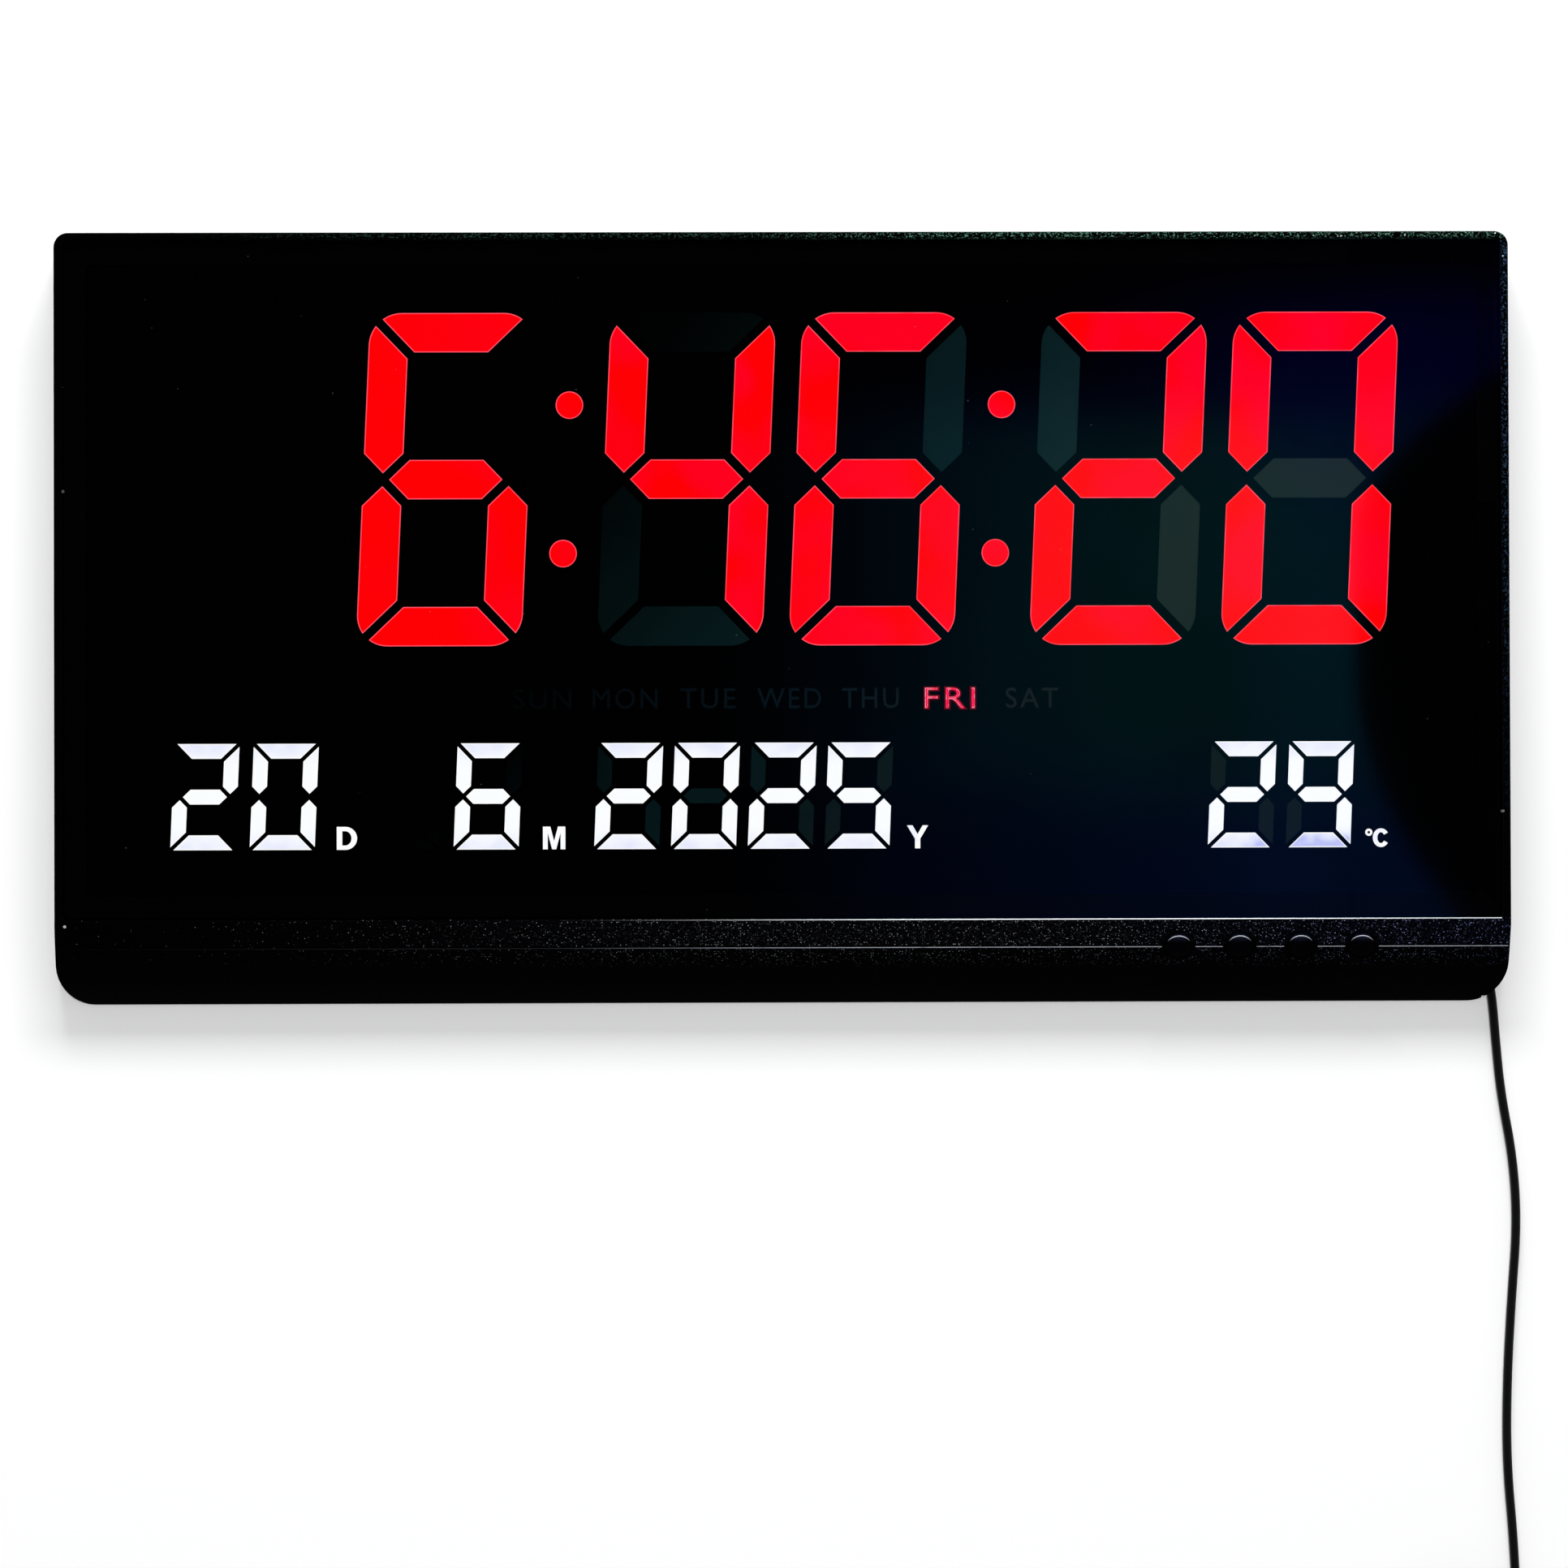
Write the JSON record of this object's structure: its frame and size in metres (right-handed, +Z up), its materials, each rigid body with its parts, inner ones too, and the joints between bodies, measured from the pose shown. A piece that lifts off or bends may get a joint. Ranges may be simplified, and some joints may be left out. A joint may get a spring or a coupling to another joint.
{
  "type": "wall-hung led calendar clock",
  "caption": "Wide slim wall clock with large red time digits, weekday row, white date and temperature digits, four push buttons on a curved chin and a plug-in supply lead.",
  "frame": {"origin": "midway between the two keyhole entries, on the back plane that lies on the wall", "axes": "+X to the viewer's right along the case, +Y into the wall, +Z up; the display faces -Y"},
  "size_m": [0.492, 0.03, 0.605],
  "materials": {
    "case_black": "fine spark texture, matt black",
    "window_black": "gloss black tinted acrylic, see-through to the lit segments",
    "adhesive": "black foam adhesive",
    "reflector_white": "white moulded reflector with a black front",
    "red_light": "milky resin lit red",
    "white_light": "milky resin lit white",
    "film": "smoked diffusing film",
    "board_green": "solder-masked glass-epoxy board",
    "led_body": "white LED body with clear resin",
    "chip_black": "black moulding",
    "tin": "tinned can",
    "nickel": "nickel plate",
    "sensor_bead": "dipped resin bead",
    "capacitor_sleeve": "printed sleeve",
    "wire_sleeve": "insulated wire",
    "header_white": "natural nylon",
    "cable_grey": "grey ribbon",
    "screw_zinc": "black zinc plate",
    "cord_black": "soft satin black sheath",
    "tie_black": "flat tie",
    "adapter_black": "fine matt black moulding",
    "button_black": "smooth black cap",
    "plunger_black": "black moulding"
  },
  "bodies": {
    "casing": {"front_frame": "case_black", "rear_cover": "case_black", "display_window": "window_black", "window_tape": "adhesive", "light_board": "reflector_white", "time_diffusers": "red_light", "date_diffusers": "white_light", "weekday_film": "film", "unit_films": "film", "main_board": "board_green", "red_leds": "led_body", "white_leds": "led_body", "controller_chip": "chip_black", "driver_chips": "chip_black", "clock_crystal": "tin", "coin_cell_holder": "chip_black", "coin_cell": "nickel", "buzzer": "chip_black", "temperature_sensor": "sensor_bead", "capacitors": "capacitor_sleeve", "dc_jack": "chip_black", "jack_wires": "wire_sleeve", "key_board": "board_green", "switch_bodies": "chip_black", "cable_headers": "header_white", "key_cable": "cable_grey", "case_screws": "screw_zinc", "board_screws": "screw_zinc", "key_board_screws": "screw_zinc", "dc_plug_barrel": "nickel", "dc_plug_body": "cord_black", "plug_strain_relief": "cord_black", "dc_lead": "cord_black", "dc_lead_coil": "cord_black", "dc_lead_tail": "cord_black", "lead_tie": "tie_black", "adapter_strain_relief": "cord_black", "power_adapter": "adapter_black", "adapter_pins": "nickel"},
    "set_button": {"set_button_cap": "button_black", "set_switch_plunger": "plunger_black"},
    "up_button": {"up_button_cap": "button_black", "up_switch_plunger": "plunger_black"},
    "down_button": {"down_button_cap": "button_black", "down_switch_plunger": "plunger_black"},
    "alarm_button": {"alarm_button_cap": "button_black", "alarm_switch_plunger": "plunger_black"}
  },
  "joints": [
    {"name": "set_press", "type": "slide", "parent": "casing", "child": "set_button", "axis": [0, 0.7926, 0.6097], "range_m": [0, 0.0005], "stiffness_N_per_m": 800},
    {"name": "up_press", "type": "slide", "parent": "casing", "child": "up_button", "axis": [0, 0.7926, 0.6097], "range_m": [0, 0.0005], "stiffness_N_per_m": 800},
    {"name": "down_press", "type": "slide", "parent": "casing", "child": "down_button", "axis": [0, 0.7926, 0.6097], "range_m": [0, 0.0005], "stiffness_N_per_m": 800},
    {"name": "alarm_press", "type": "slide", "parent": "casing", "child": "alarm_button", "axis": [0, 0.7926, 0.6097], "range_m": [0, 0.0005], "stiffness_N_per_m": 800}
  ]
}
